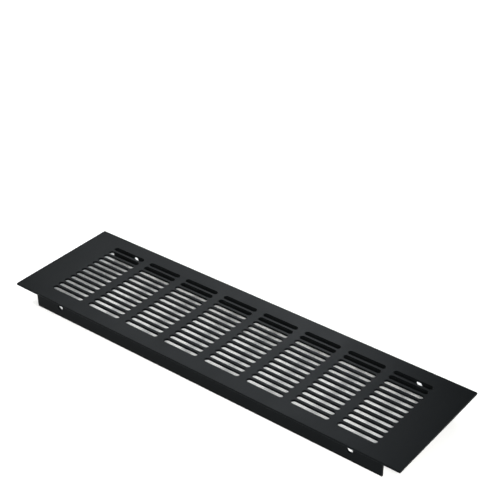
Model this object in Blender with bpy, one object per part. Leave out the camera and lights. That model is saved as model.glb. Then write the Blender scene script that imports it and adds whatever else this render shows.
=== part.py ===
"""Air vent cover: one piece of extruded aluminium, sawn, cut back, punched, drilled and coated black.

Units are metres and +Z is up. The cover stands on the lower edges of its two legs, face plate uppermost,
with its length along X. The origin is the middle of its footprint, on the surface that the legs stand on.
"""

import math

import bmesh
import bpy
from mathutils import Matrix, Vector

OBJECT_NAME = "air_vent_cover"
CUTTER_COLLECTION = "cutters"

# Face plate
PLATE_LENGTH = 0.286
PLATE_WIDTH = 0.080
PLATE_THICKNESS = 0.0014

# Two legs under the plate, set in from its long edges so that a rim overlaps the board
OVERALL_HEIGHT = 0.0143
LEG_THICKNESS = 0.0014
RIM_OVERHANG = 0.0044
END_TAB = 0.0133

# Small radii of the extruded section
RIM_TOP_RADIUS = 0.0004
LEG_ROOT_RADIUS = 0.0005
LEG_TIP_RADIUS = 0.0002
RADIUS_SEGMENTS = 3

# Round-ended air slots, punched in rows across the plate and in groups along it
SLOT_LENGTH = 0.0254
SLOT_WIDTH = 0.0034
RIB_WIDTH = 0.00168
GROUP_BRIDGE = 0.0057
LEAST_END_MARGIN = 0.020
LEAST_LEG_MARGIN = 0.0035
SLOT_END_SEGMENTS = 8

# Screw holes, drilled through both legs near each end
SCREW_HOLE_DIAMETER = 0.0042
HOLE_FROM_LEG_END = 0.0205
HOLE_SEGMENTS = 24

# How far a cutting tool runs past the metal, how far the root radii run into the plate, and how close two
# points are before they are one
TOOL_OVERRUN = 0.004
ROOT_OVERLAP = 0.00005
WELD_DISTANCE = 0.000002

# Matte black coating
COATING_COLOUR = (0.030, 0.031, 0.033, 1.0)
COATING_ROUGHNESS = 0.55
COATING_METALLIC = 0.0

# Places that follow from the sizes above
PLATE_UNDERSIDE = OVERALL_HEIGHT - PLATE_THICKNESS
LEG_OUTER = PLATE_WIDTH / 2 - RIM_OVERHANG
LEG_INNER = LEG_OUTER - LEG_THICKNESS
LEG_END = PLATE_LENGTH / 2 - END_TAB
HOLE_PLACE = LEG_END - HOLE_FROM_LEG_END
HOLE_HEIGHT = OVERALL_HEIGHT / 2

# Turns a section drawn as (across, up) so that across is Y, up is Z, and its depth is along X
SECTION_TO_X = (math.pi / 2, 0.0, math.pi / 2)


def clear_scene():
    for item in list(bpy.data.objects):
        bpy.data.objects.remove(item, do_unlink=True)


def new_collection(name):
    collection = bpy.data.collections.new(name)
    bpy.context.scene.collection.children.link(collection)
    return collection


def coating_material():
    """Matte black coating over the whole piece."""
    material = bpy.data.materials.new("matte_black_coating")
    material.use_nodes = True
    shader = material.node_tree.nodes["Principled BSDF"]
    shader.inputs["Base Color"].default_value = COATING_COLOUR
    shader.inputs["Roughness"].default_value = COATING_ROUGHNESS
    shader.inputs["Metallic"].default_value = COATING_METALLIC
    material.diffuse_color = COATING_COLOUR
    return material


def corner_points(before, corner, after, radius):
    """The corner itself, or the arc that rounds it between its two sides."""
    if radius <= 0:
        return [corner]
    back = (before - corner).normalized()
    ahead = (after - corner).normalized()
    half_angle = back.angle(ahead) / 2
    reach = radius / math.tan(half_angle)
    centre = corner + (back + ahead).normalized() * (radius / math.sin(half_angle))
    start = corner + back * reach - centre
    sweep = math.pi - 2 * half_angle
    if back.cross(ahead) > 0:
        sweep = -sweep
    turns = [Matrix.Rotation(sweep * step / RADIUS_SEGMENTS, 2) for step in range(RADIUS_SEGMENTS + 1)]
    return [centre + turn @ start for turn in turns]


def rounded_outline(corners):
    """Closed outline through corners given as (across, up, radius)."""
    points = []
    for index, (across, up, radius) in enumerate(corners):
        before = Vector(corners[index - 1][:2])
        after = Vector(corners[(index + 1) % len(corners)][:2])
        points += corner_points(before, Vector((across, up)), after, radius)
    return points


def plate_outline():
    """Section of the face plate, seen along X, with its upper edges eased."""
    half = PLATE_WIDTH / 2
    rim = min(RIM_TOP_RADIUS, PLATE_THICKNESS / 2)
    return rounded_outline([
        (-half, PLATE_UNDERSIDE, 0.0),
        (half, PLATE_UNDERSIDE, 0.0),
        (half, OVERALL_HEIGHT, rim),
        (-half, OVERALL_HEIGHT, rim),
    ])


def leg_outline(side):
    """Section of one leg, seen along X: it spreads in a radius at its root and ends inside the plate."""
    root = min(LEG_ROOT_RADIUS, RIM_OVERHANG / 2)
    spread = root + ROOT_OVERLAP
    tip = min(LEG_TIP_RADIUS, LEG_THICKNESS / 3)
    root_level = PLATE_UNDERSIDE + ROOT_OVERLAP
    top = OVERALL_HEIGHT - PLATE_THICKNESS / 2
    return rounded_outline([
        (side * LEG_INNER, 0.0, tip),
        (side * LEG_OUTER, 0.0, tip),
        (side * LEG_OUTER, root_level, root),
        (side * (LEG_OUTER + spread), root_level, 0.0),
        (side * (LEG_OUTER + spread), top, 0.0),
        (side * (LEG_INNER - spread), top, 0.0),
        (side * (LEG_INNER - spread), root_level, 0.0),
        (side * LEG_INNER, root_level, root),
    ])


def slot_outline(centre_x, centre_y):
    """Closed outline of one round-ended slot, with its length along X."""
    radius = SLOT_WIDTH / 2
    straight = SLOT_LENGTH / 2 - radius
    points = []
    for end, first_angle in ((1, -math.pi / 2), (-1, math.pi / 2)):
        for step in range(SLOT_END_SEGMENTS + 1):
            angle = first_angle + math.pi * step / SLOT_END_SEGMENTS
            x = centre_x + end * straight + radius * math.cos(angle)
            y = centre_y + radius * math.sin(angle)
            points.append(Vector((x, y)))
    return points


def evenly_placed(size, gap, room):
    """Centres of as many equal shapes as fit in the room, a gap apart and centred on zero."""
    pitch = size + gap
    count = max(1, int((room + gap) / pitch))
    return [(index - (count - 1) / 2) * pitch for index in range(count)]


def solid_from_outlines(name, outlines, half_depth, place, rotation, collection):
    """Flat outlines given a depth to either side of their plane, made into one closed mesh."""
    curve = bpy.data.curves.new(name, "CURVE")
    curve.dimensions = "2D"
    curve.fill_mode = "BOTH"
    curve.extrude = half_depth
    for outline in outlines:
        spline = curve.splines.new("POLY")
        spline.points.add(len(outline) - 1)
        for point, (x, y) in zip(spline.points, outline):
            point.co = (x, y, 0.0, 1.0)
        spline.use_cyclic_u = True
    curve_object = bpy.data.objects.new(name + "_outline", curve)
    curve_object.location = place
    curve_object.rotation_euler = rotation
    collection.objects.link(curve_object)
    bpy.context.view_layer.update()
    evaluated = curve_object.evaluated_get(bpy.context.evaluated_depsgraph_get())
    mesh = bpy.data.meshes.new_from_object(evaluated)
    mesh.name = name
    weld(mesh)
    solid = bpy.data.objects.new(name, mesh)
    solid.matrix_world = curve_object.matrix_world.copy()
    collection.objects.link(solid)
    bpy.data.objects.remove(curve_object, do_unlink=True)
    return solid


def weld(mesh):
    """Join the caps to the sides, and turn every face outward."""
    shape = bmesh.new()
    shape.from_mesh(mesh)
    bmesh.ops.remove_doubles(shape, verts=shape.verts, dist=WELD_DISTANCE)
    bmesh.ops.recalc_face_normals(shape, faces=shape.faces)
    shape.to_mesh(mesh)
    shape.free()


def face_plate(collection):
    """The plate at its full length."""
    half_length = PLATE_LENGTH / 2
    return solid_from_outlines("vent_cover", [plate_outline()], half_length, (0, 0, 0), SECTION_TO_X, collection)


def legs(collection):
    """Both legs, shorter than the plate because their ends are cut back from the sawn ends."""
    outlines = [leg_outline(side) for side in (-1, 1)]
    return solid_from_outlines("legs", outlines, LEG_END, (0, 0, 0), SECTION_TO_X, collection)


def slot_punch(collection):
    """Punch for every slot at once: groups along the plate, rows across it between the legs."""
    groups = evenly_placed(SLOT_LENGTH, GROUP_BRIDGE, PLATE_LENGTH - 2 * LEAST_END_MARGIN)
    rows = evenly_placed(SLOT_WIDTH, RIB_WIDTH, 2 * (LEG_INNER - LEAST_LEG_MARGIN))
    outlines = [slot_outline(group, row) for group in groups for row in rows]
    half_depth = PLATE_THICKNESS / 2 + TOOL_OVERRUN
    place = (0, 0, OVERALL_HEIGHT - PLATE_THICKNESS / 2)
    return solid_from_outlines("slot_punch", outlines, half_depth, place, (0, 0, 0), collection)


def screw_hole_drill(name, place_x, collection):
    """Drill that passes through both legs at one place along the cover."""
    shape = bmesh.new()
    bmesh.ops.create_cone(
        shape,
        cap_ends=True,
        segments=HOLE_SEGMENTS,
        radius1=SCREW_HOLE_DIAMETER / 2,
        radius2=SCREW_HOLE_DIAMETER / 2,
        depth=2 * (LEG_OUTER + TOOL_OVERRUN),
        matrix=Matrix.Translation((place_x, 0.0, HOLE_HEIGHT)) @ Matrix.Rotation(math.pi / 2, 4, "X"),
    )
    mesh = bpy.data.meshes.new(name)
    shape.to_mesh(mesh)
    shape.free()
    drill = bpy.data.objects.new(name, mesh)
    collection.objects.link(drill)
    return drill


def combine(body, tool, operation):
    """Add the tool's shape to the body, or take it away."""
    tool.hide_render = True
    tool.display_type = "WIRE"
    modifier = body.modifiers.new(tool.name, "BOOLEAN")
    modifier.operation = operation
    modifier.solver = "EXACT"
    modifier.object = tool


def build():
    clear_scene()
    parts = new_collection(OBJECT_NAME)
    cutters = new_collection(CUTTER_COLLECTION)
    cover = face_plate(parts)
    cover.data.materials.append(coating_material())
    combine(cover, legs(cutters), "UNION")
    combine(cover, slot_punch(cutters), "DIFFERENCE")
    combine(cover, screw_hole_drill("drill_left", -HOLE_PLACE, cutters), "DIFFERENCE")
    combine(cover, screw_hole_drill("drill_right", HOLE_PLACE, cutters), "DIFFERENCE")


build()
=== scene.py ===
import math

import bmesh
import bpy
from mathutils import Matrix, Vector


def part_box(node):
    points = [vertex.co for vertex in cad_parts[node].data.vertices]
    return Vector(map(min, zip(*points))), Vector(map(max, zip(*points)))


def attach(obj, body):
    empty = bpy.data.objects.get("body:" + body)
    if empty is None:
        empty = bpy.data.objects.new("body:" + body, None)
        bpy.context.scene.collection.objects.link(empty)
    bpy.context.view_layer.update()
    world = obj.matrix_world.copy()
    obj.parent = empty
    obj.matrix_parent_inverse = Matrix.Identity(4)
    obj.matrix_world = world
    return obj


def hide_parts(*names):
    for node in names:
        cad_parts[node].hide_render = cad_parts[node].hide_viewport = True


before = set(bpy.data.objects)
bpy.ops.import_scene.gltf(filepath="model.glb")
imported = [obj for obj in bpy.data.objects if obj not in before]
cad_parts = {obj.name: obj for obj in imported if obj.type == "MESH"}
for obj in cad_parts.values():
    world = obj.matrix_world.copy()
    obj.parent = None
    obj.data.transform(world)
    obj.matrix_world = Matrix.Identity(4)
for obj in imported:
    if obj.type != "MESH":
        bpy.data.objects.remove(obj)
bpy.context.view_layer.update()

# Face plate
# The visible face of the cover: the flat web of one aluminium extrusion, sawn to length. Its upper edges
# are eased, and the coat rounds every other edge a little.
low, high = (Vector(corner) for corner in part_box("vent_cover"))
half_length = high.x
half_width = high.y
face_top = high.z
wall = 0.0014
face_underside = face_top - wall
eased_edge = 0.00012
coated_edge = 0.0001
near = 0.00001
kept_decimals = 7

cover_shape = bmesh.new()
placed = {}


def point(x, y, z):
    """The vertex at a place, made once however many faces meet there."""
    key = tuple(round(value, kept_decimals) for value in (x, y, z))
    if key not in placed:
        placed[key] = cover_shape.verts.new((x, y, z))
    return placed[key]


def face(corners):
    cover_shape.faces.new([point(*corner) for corner in corners])


# Air slots
# Round-ended slots punched through the plate between the legs, in rows across it and groups along it.
# The punch leaves crisp rims, which the coat rounds by about a tenth of a millimetre.
slot_groups = 8
slot_rows = 12
slot_length = 0.0254
slot_width = 0.0034
group_pitch = 0.0311
row_pitch = 0.00508
slot_end_steps = 14
slot_rim = 0.00008
field_x = slot_groups * group_pitch / 2
field_y = slot_rows * row_pitch / 2
right_angle = math.pi / 2


def slot_half(centre_x, centre_y, side):
    """One long half of a slot's outline, from its right tip round to its left tip."""
    radius = slot_width / 2
    straight = slot_length / 2 - radius
    outline = []
    for end, first in ((1, 0.0), (-1, right_angle)):
        for step in range(slot_end_steps // 2 + 1):
            angle = first + math.pi * step / slot_end_steps
            x = centre_x + end * straight + radius * math.cos(angle)
            y = centre_y + side * radius * math.sin(angle)
            outline.append((x, y))
    return outline


def punched_cell(centre_x, centre_y):
    """The plate round one slot, top and bottom, with the slot's wall."""
    left = centre_x - group_pitch / 2
    right = centre_x + group_pitch / 2
    for side in (-1, 1):
        outline = slot_half(centre_x, centre_y, side)
        edge_y = centre_y + side * row_pitch / 2
        rest_of_cell = [(left, centre_y), (left, edge_y), (right, edge_y), (right, centre_y)]
        for level in (face_underside, face_top):
            face([(x, y, level) for x, y in outline + rest_of_cell])
        for (x0, y0), (x1, y1) in zip(outline, outline[1:]):
            face([(x0, y0, face_underside), (x1, y1, face_underside),
                  (x1, y1, face_top), (x0, y0, face_top)])


def margins(reach_x, reach_y, level):
    """The unpunched plate round the slots at one level, out to the given reach."""
    columns = [-field_x + group_pitch * step for step in range(slot_groups + 1)]
    halves = [-field_y + row_pitch / 2 * step for step in range(2 * slot_rows + 1)]
    for side in (-1, 1):
        face([(-reach_x, side * reach_y, level), (reach_x, side * reach_y, level)]
             + [(x, side * field_y, level) for x in reversed(columns)])
        face([(side * reach_x, -reach_y, level), (side * reach_x, reach_y, level)]
             + [(side * field_x, y, level) for y in reversed(halves)])


for column in range(slot_groups):
    for row in range(slot_rows):
        slot_x = -field_x + group_pitch * (column + 0.5)
        slot_y = -field_y + row_pitch * (row + 0.5)
        punched_cell(slot_x, slot_y)

# Legs
# Two flanges extruded with the plate, spread by a small radius at the root. They slip into the cut-out in
# the board. Their ends are cut back so that the plate's ends make flat tabs.
rim_overhang = 0.0044
end_tab = 0.0133
root_radius = 0.0005
tip_radius = 0.0002
radius_steps = 5
leg_outer = half_width - rim_overhang
leg_inner = leg_outer - wall
leg_end = half_length - end_tab
root_foot = face_underside - root_radius


def quarter(centre, start, sweep, radius):
    """Points along a quarter turn, as (across, up)."""
    angles = [start + sweep * step / radius_steps for step in range(radius_steps + 1)]
    return [(centre[0] + radius * math.cos(a), centre[1] + radius * math.sin(a)) for a in angles]


outer_root = quarter((leg_outer + root_radius, root_foot), right_angle, right_angle, root_radius)
outer_tip = quarter((leg_outer - tip_radius, tip_radius), 0.0, -right_angle, tip_radius)
inner_tip = quarter((leg_inner + tip_radius, tip_radius), -right_angle, -right_angle, tip_radius)
inner_root = quarter((leg_inner - root_radius, root_foot), 0.0, right_angle, root_radius)
tip_flat = [outer_tip[-1], inner_tip[0]]

# Screw holes
# Four plain holes, drilled straight through both legs near their ends and halfway up the cover.
hole_radius = 0.0021
hole_from_leg_end = 0.0205
hole_height = face_top / 2
hole_steps = 32
hole_x = leg_end - hole_from_leg_end


def hole_half(centre_x, side):
    """Upper or lower half of a hole's outline, from left to right, as (x, z)."""
    angles = [math.pi - math.pi * step * 2 / hole_steps for step in range(hole_steps // 2 + 1)]
    return [
        (centre_x + hole_radius * math.cos(a), hole_height + side * hole_radius * math.sin(a))
        for a in angles
    ]


def drilled_side(y):
    """One flat side of a leg, split along the line of the holes' centres."""
    for side, level in ((1, root_foot), (-1, tip_radius)):
        outline = hole_half(-hole_x, side) + hole_half(hole_x, side)
        rest = [(leg_end, hole_height), (leg_end, level), (-leg_end, level), (-leg_end, hole_height)]
        face([(x, y, z) for x, z in outline + rest])


# Each leg in turn: its root and tip, its two drilled sides, the walls of its holes and its cut ends.
section = (outer_root + [(leg_outer, hole_height)] + outer_tip
           + inner_tip + [(leg_inner, hole_height)] + inner_root)
for leg_side in (-1, 1):
    for strip in (outer_root, outer_tip, inner_tip, inner_root, tip_flat):
        for (y0, z0), (y1, z1) in zip(strip, strip[1:]):
            face([(-leg_end, leg_side * y0, z0), (leg_end, leg_side * y0, z0),
                  (leg_end, leg_side * y1, z1), (-leg_end, leg_side * y1, z1)])
    drilled_side(leg_side * leg_outer)
    drilled_side(leg_side * leg_inner)
    for hole in (-hole_x, hole_x):
        for side in (-1, 1):
            outline = hole_half(hole, side)
            for (x0, z0), (x1, z1) in zip(outline, outline[1:]):
                face([(x0, leg_side * leg_outer, z0), (x1, leg_side * leg_outer, z1),
                      (x1, leg_side * leg_inner, z1), (x0, leg_side * leg_inner, z0)])
    for end in (-1, 1):
        face([(end * leg_end, leg_side * y, z) for y, z in section])

# Rest of the plate
# Its upper face, the underside between and outside the legs, the end tabs, and the sawn ends.
outer_foot = outer_root[0][0]
inner_foot = inner_root[-1][0]
across = [-half_width, -outer_foot, -inner_foot, inner_foot, outer_foot, half_width]
along = [-half_length, -leg_end, leg_end, half_length]
margins(half_length, half_width, face_top)
margins(leg_end, inner_foot, face_underside)
for side in (-1, 1):
    long_edge = side * half_width
    sawn_end = side * half_length
    face([(-leg_end, long_edge, face_underside), (leg_end, long_edge, face_underside),
          (leg_end, side * outer_foot, face_underside), (-leg_end, side * outer_foot, face_underside)])
    face([(sawn_end, half_width, face_underside), (sawn_end, -half_width, face_underside)]
         + [(side * leg_end, y, face_underside) for y in across])
    face([(x, long_edge, face_underside) for x in along]
         + [(half_length, long_edge, face_top), (-half_length, long_edge, face_top)])
    face([(sawn_end, -half_width, face_underside), (sawn_end, half_width, face_underside),
          (sawn_end, half_width, face_top), (sawn_end, -half_width, face_top)])
bmesh.ops.recalc_face_normals(cover_shape, faces=cover_shape.faces)

corner_turn = math.radians(50)
outline_steps = 4
rim_steps = 3
coated_steps = 2


def sharp_edges(test):
    """Edges with a real corner along them whose two ends both pass the test."""
    return [
        edge for edge in cover_shape.edges
        if edge.calc_face_angle(0.0) > corner_turn and all(test(vert.co) for vert in edge.verts)
    ]


def ease(edges, width, steps):
    bmesh.ops.bevel(cover_shape, geom=edges, offset=width, offset_type="OFFSET", segments=steps,
                    profile=0.5, affect="EDGES", clamp_overlap=True)


def on_outline(co):
    return abs(co.x) > half_length - near or abs(co.y) > half_width - near


def in_field(co):
    return abs(co.x) < field_x and abs(co.y) < field_y


def at_top(co):
    return co.z > face_top - near


def at_corner(co):
    return abs(co.x) > half_length - near and abs(co.y) > half_width - near


# Eased in turn: the plate's upper outline and corners, the slots' upper rims, their lower rims, the rims
# of the screw holes, the legs' cut ends, and the plate's lower outline.
upper_outline = sharp_edges(lambda co: at_top(co) and on_outline(co))
plate_corners = [edge for edge in sharp_edges(at_corner) if edge not in upper_outline]
ease(upper_outline + plate_corners, eased_edge, outline_steps)
ease(sharp_edges(lambda co: at_top(co) and in_field(co)), slot_rim, rim_steps)
ease(sharp_edges(in_field), coated_edge, coated_steps)
ease(sharp_edges(lambda co: abs(co.z - hole_height) < hole_radius + near and abs(co.x) < leg_end - near),
     coated_edge, coated_steps)
ease(sharp_edges(lambda co: co.z < root_foot + near and abs(co.x) > leg_end - near),
     coated_edge, coated_steps)
ease(sharp_edges(lambda co: on_outline(co) and co.z < face_underside + near), coated_edge, coated_steps)

cover_mesh = bpy.data.meshes.new("vent_cover_coated")
cover_shape.to_mesh(cover_mesh)
cover_shape.free()
cover_mesh.shade_smooth()
cover_mesh.set_sharp_from_angle(angle=corner_turn)
cover = bpy.data.objects.new("vent_cover_coated", cover_mesh)
bpy.context.collection.objects.link(cover)
flat_faces_stay_flat = cover.modifiers.new("flat_faces_stay_flat", "WEIGHTED_NORMAL")
flat_faces_stay_flat.weight = 100
flat_faces_stay_flat.keep_sharp = True

# Coat
# Fine matte black powder coat over bare aluminium, baked on. Its skin is faintly pebbled, its gloss
# drifts a little from place to place, and the lines that the die left along the extrusion show through.
coat = bpy.data.materials.new("matte_black_coat")
coat.use_nodes = True
nodes = coat.node_tree.nodes
links = coat.node_tree.links
skin = nodes["Principled BSDF"]
place = nodes.new("ShaderNodeTexCoord")
noise_low = 0.3
noise_high = 0.7


def noise(vector, scale, detail):
    texture = nodes.new("ShaderNodeTexNoise")
    texture.inputs["Scale"].default_value = scale
    texture.inputs["Detail"].default_value = detail
    links.new(vector, texture.inputs["Vector"])
    return texture.outputs["Fac"]


def remap(value, lowest, highest):
    """Spreads the middle of a noise, where nearly all of its values lie, over another range."""
    spread = nodes.new("ShaderNodeMapRange")
    spread.inputs["From Min"].default_value = noise_low
    spread.inputs["From Max"].default_value = noise_high
    spread.inputs["To Min"].default_value = lowest
    spread.inputs["To Max"].default_value = highest
    links.new(value, spread.inputs["Value"])
    return spread.outputs["Result"]


pebble = noise(place.outputs["Object"], scale=2600.0, detail=2.0)
drift = noise(place.outputs["Object"], scale=55.0, detail=3.0)
stretched = nodes.new("ShaderNodeMapping")
stretched.inputs["Scale"].default_value = (4.0, 1400.0, 1400.0)
links.new(place.outputs["Object"], stretched.inputs["Vector"])
die_lines = noise(stretched.outputs["Vector"], scale=1.0, detail=2.0)

tone = nodes.new("ShaderNodeMix")
tone.data_type = "RGBA"
tone.inputs["A"].default_value = (0.0034, 0.0042, 0.0046, 1.0)
tone.inputs["B"].default_value = (0.0042, 0.0051, 0.0056, 1.0)
links.new(remap(drift, lowest=0.0, highest=1.0), tone.inputs["Factor"])
links.new(tone.outputs["Result"], skin.inputs["Base Color"])
links.new(remap(drift, lowest=0.29, highest=0.33), skin.inputs["Roughness"])
skin.inputs["Specular IOR Level"].default_value = 0.0545
skin.inputs["Specular Tint"].default_value = (0.815, 0.905, 1.0, 1.0)

die_bump = nodes.new("ShaderNodeBump")
die_bump.inputs["Strength"].default_value = 0.25
die_bump.inputs["Distance"].default_value = 0.00001
links.new(die_lines, die_bump.inputs["Height"])
pebble_bump = nodes.new("ShaderNodeBump")
pebble_bump.inputs["Strength"].default_value = 0.5
pebble_bump.inputs["Distance"].default_value = 0.00002
links.new(pebble, pebble_bump.inputs["Height"])
links.new(die_bump.outputs["Normal"], pebble_bump.inputs["Normal"])
links.new(pebble_bump.outputs["Normal"], skin.inputs["Normal"])
cover_mesh.materials.append(coat)

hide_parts("vent_cover")
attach(cover, "root")

# Floor
# A plain white studio floor under the cover. Far from the middle it glows a little, so that it stays
# white out to the backdrop when it is seen from low down.
floor_reach = 4.0
floor_gap = 0.0002
floor_shape = bmesh.new()
bmesh.ops.create_grid(floor_shape, x_segments=1, y_segments=1, size=floor_reach)
floor_mesh = bpy.data.meshes.new("studio_floor")
floor_shape.to_mesh(floor_mesh)
floor_shape.free()
floor = bpy.data.objects.new("studio_floor", floor_mesh)
floor.location.z = low.z - floor_gap
bpy.context.collection.objects.link(floor)
paper = bpy.data.materials.new("white_paper")
paper.use_nodes = True
paper_nodes = paper.node_tree.nodes
paper_links = paper.node_tree.links
paper_skin = paper_nodes["Principled BSDF"]
paper_skin.inputs["Base Color"].default_value = (0.90, 0.90, 0.90, 1.0)
paper_skin.inputs["Roughness"].default_value = 0.9
paper_skin.inputs["Specular IOR Level"].default_value = 0.1
paper_skin.inputs["Emission Color"].default_value = (1.0, 1.0, 1.0, 1.0)
paper_place = paper_nodes.new("ShaderNodeTexCoord")
from_middle = paper_nodes.new("ShaderNodeVectorMath")
from_middle.operation = "LENGTH"
glow = paper_nodes.new("ShaderNodeMapRange")
glow.inputs["From Min"].default_value = 0.65
glow.inputs["From Max"].default_value = 1.6
glow.inputs["To Min"].default_value = 0.0
glow.inputs["To Max"].default_value = 0.9
paper_links.new(paper_place.outputs["Object"], from_middle.inputs[0])
paper_links.new(from_middle.outputs["Value"], glow.inputs["Value"])
paper_links.new(glow.outputs["Result"], paper_skin.inputs["Emission Strength"])
floor_mesh.materials.append(paper)

# Camera
# Above the near right side, looking down along the cover, with a long lens.
eye = Vector((0.370538, -0.444717, 0.437131))
turn = tuple(math.radians(angle) for angle in (57.8290, 0.6826, 38.2070))
lens_view = bpy.data.cameras.new("camera")
lens_view.lens = 86.62
lens_view.sensor_width = 36.0
lens_view.clip_start = 0.01
camera = bpy.data.objects.new("camera", lens_view)
camera.location = eye
camera.rotation_euler = turn
bpy.context.collection.objects.link(camera)
bpy.context.scene.camera = camera

# Light
# Soft boxes in a pale, faintly blue cove: a small key high on the left, two low behind whose reflection
# greys the face, and one beside the camera. Four narrow lamps whiten the floor behind the screw holes.
warm = (1.0, 0.985, 0.96)
white = (1.0, 1.0, 1.0)
cove_strength = 0.36
backdrop_strength = 1.2
lamp_to_hole = 0.3


def soft_box(name, power, tint, size, azimuth, elevation, distance):
    """A lamp aimed at the cover, placed by azimuth from +Y towards -X and by elevation, in degrees."""
    lamp = bpy.data.lights.new(name, "AREA")
    lamp.shape = "RECTANGLE"
    lamp.size, lamp.size_y = size
    lamp.energy = power
    lamp.color = tint
    turned = math.radians(azimuth)
    raised = math.radians(elevation)
    level_reach = distance * math.cos(raised)
    box = bpy.data.objects.new(name, lamp)
    box.location = (
        -level_reach * math.sin(turned), level_reach * math.cos(turned), distance * math.sin(raised)
    )
    box.rotation_euler = (-box.location).to_track_quat("-Z", "Y").to_euler()
    bpy.context.collection.objects.link(box)


def hole_lamp(name, hole):
    """A narrow lamp near a screw hole, in line with it and the camera, and itself unseen."""
    lamp = bpy.data.lights.new(name, "SPOT")
    lamp.energy = 3.2
    lamp.spot_size = math.radians(1.1)
    lamp.spot_blend = 0.5
    lamp.shadow_soft_size = 0.002
    sight_line = (eye - hole).normalized()
    snoot = bpy.data.objects.new(name, lamp)
    snoot.location = hole + lamp_to_hole * sight_line
    snoot.rotation_euler = (-sight_line).to_track_quat("-Z", "Y").to_euler()
    snoot.visible_camera = False
    bpy.context.collection.objects.link(snoot)


soft_box("key_box", power=5.9, tint=warm, size=(0.25, 0.25), azimuth=120, elevation=58, distance=1.3)
soft_box("far_box", power=6.9, tint=white, size=(0.65, 0.5), azimuth=42, elevation=39, distance=1.5)
soft_box("far_strip", power=1.6, tint=white, size=(0.3, 0.5), azimuth=31, elevation=39, distance=1.5)
soft_box("camera_box", power=24.0, tint=warm, size=(0.25, 0.25), azimuth=220, elevation=36, distance=1.3)
for leg, leg_y in (("front", -leg_outer), ("back", leg_inner)):
    for end, end_x in (("left", -hole_x), ("right", hole_x)):
        hole_lamp(leg + "_" + end + "_hole_lamp", Vector((end_x, leg_y, hole_height)))
world = bpy.data.worlds.new("white_cove")
bpy.context.scene.world = world
world.use_nodes = True
surround = world.node_tree.nodes["Background"]
surround.inputs["Color"].default_value = (0.88, 0.97, 1.0, 1.0)
light_path = world.node_tree.nodes.new("ShaderNodeLightPath")
shown_white = world.node_tree.nodes.new("ShaderNodeMapRange")
shown_white.inputs["To Min"].default_value = cove_strength
shown_white.inputs["To Max"].default_value = backdrop_strength
world.node_tree.links.new(light_path.outputs["Is Camera Ray"], shown_white.inputs["Value"])
world.node_tree.links.new(shown_white.outputs["Result"], surround.inputs["Strength"])
bpy.context.scene.view_settings.view_transform = "Standard"
bpy.context.scene.view_settings.gamma = 0.85
